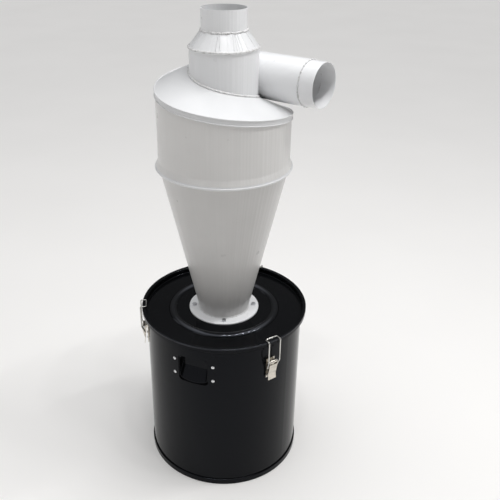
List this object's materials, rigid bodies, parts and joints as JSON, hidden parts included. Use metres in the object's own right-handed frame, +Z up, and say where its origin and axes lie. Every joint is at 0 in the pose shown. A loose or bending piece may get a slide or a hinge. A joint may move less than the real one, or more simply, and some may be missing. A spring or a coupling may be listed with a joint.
{
  "type": "cyclone separator",
  "caption": "Sheet-metal cyclone with a spiral roof, tangential inlet and top outlet, bolted to the lid of a round collecting drum that is held by toggle latches.",
  "frame": {"origin": "centre of the drum's underside, on the floor", "axes": "+Z up along the common axis of drum, cone and barrel; +X is the way the inlet mouth points"},
  "size_m": [0.4161, 0.4202, 1.1475],
  "materials": {
    "white_enamel": "glossy white powder coat",
    "black_enamel": "glossy black enamel",
    "nickel_plate": "nickel plated",
    "bail_wire": "plated spring wire",
    "zinc_steel": "zinc plated",
    "rivet_aluminium": "satin",
    "bare_steel": "unpainted steel",
    "gasket_rubber": "matt"
  },
  "bodies": {
    "separator": {"drum_wall": "black_enamel", "drum_bottom": "black_enamel", "bottom_chime": "black_enamel", "lid_gasket": "gasket_rubber", "lid": "black_enamel", "cone_flange": "white_enamel", "flange_bolts": "zinc_steel", "cone": "white_enamel", "body_seam_ring": "white_enamel", "barrel": "white_enamel", "spiral_roof": "white_enamel", "step_plate": "white_enamel", "neck_tube": "white_enamel", "outlet_reducer": "white_enamel", "outlet_collar": "white_enamel", "outlet_inner_ring": "bare_steel", "inlet_duct": "white_enamel", "inlet_collar": "white_enamel", "handle": "black_enamel", "handle_rivets": "rivet_aluminium", "latch_front_right_base": "nickel_plate", "latch_front_right_rivets": "rivet_aluminium", "latch_front_right_pin": "zinc_steel", "latch_rear_base": "nickel_plate", "latch_rear_rivets": "rivet_aluminium", "latch_rear_pin": "zinc_steel", "latch_front_left_base": "nickel_plate", "latch_front_left_rivets": "rivet_aluminium", "latch_front_left_pin": "zinc_steel"},
    "lever_front_right": {"latch_front_right_lever": "nickel_plate"},
    "bail_front_right": {"latch_front_right_bail": "bail_wire"},
    "lever_rear": {"latch_rear_lever": "nickel_plate"},
    "bail_rear": {"latch_rear_bail": "bail_wire"},
    "lever_front_left": {"latch_front_left_lever": "nickel_plate"},
    "bail_front_left": {"latch_front_left_bail": "bail_wire"}
  },
  "joints": [
    {"name": "lever_hinge_front_right", "type": "hinge", "parent": "separator", "child": "lever_front_right", "pos_m": [0.19639, -0.06381, 0.374], "axis": [-0.309, -0.9511, 0], "range_deg": [0, 140]},
    {"name": "bail_hinge_front_right", "type": "hinge", "parent": "lever_front_right", "child": "bail_front_right", "pos_m": [0.19402, -0.06304, 0.357], "axis": [-0.309, -0.9511, 0], "range_deg": [-168, 0]},
    {"name": "lever_hinge_rear", "type": "hinge", "parent": "separator", "child": "lever_rear", "pos_m": [-0.04293, 0.20199, 0.374], "axis": [0.9781, 0.2079, 0], "range_deg": [0, 140]},
    {"name": "bail_hinge_rear", "type": "hinge", "parent": "lever_rear", "child": "bail_rear", "pos_m": [-0.04241, 0.19954, 0.357], "axis": [0.9781, 0.2079, 0], "range_deg": [-168, 0]},
    {"name": "lever_hinge_front_left", "type": "hinge", "parent": "separator", "child": "lever_front_left", "pos_m": [-0.15346, -0.13817, 0.374], "axis": [-0.6691, 0.7431, 0], "range_deg": [0, 140]},
    {"name": "bail_hinge_front_left", "type": "hinge", "parent": "lever_front_left", "child": "bail_front_left", "pos_m": [-0.1516, -0.1365, 0.357], "axis": [-0.6691, 0.7431, 0], "range_deg": [-168, 0]}
  ],
  "couplings": [
    {"joint": "bail_hinge_front_right", "follows": "lever_hinge_front_right", "ratio": -1.2},
    {"joint": "bail_hinge_rear", "follows": "lever_hinge_rear", "ratio": -1.2},
    {"joint": "bail_hinge_front_left", "follows": "lever_hinge_front_left", "ratio": -1.2}
  ]
}
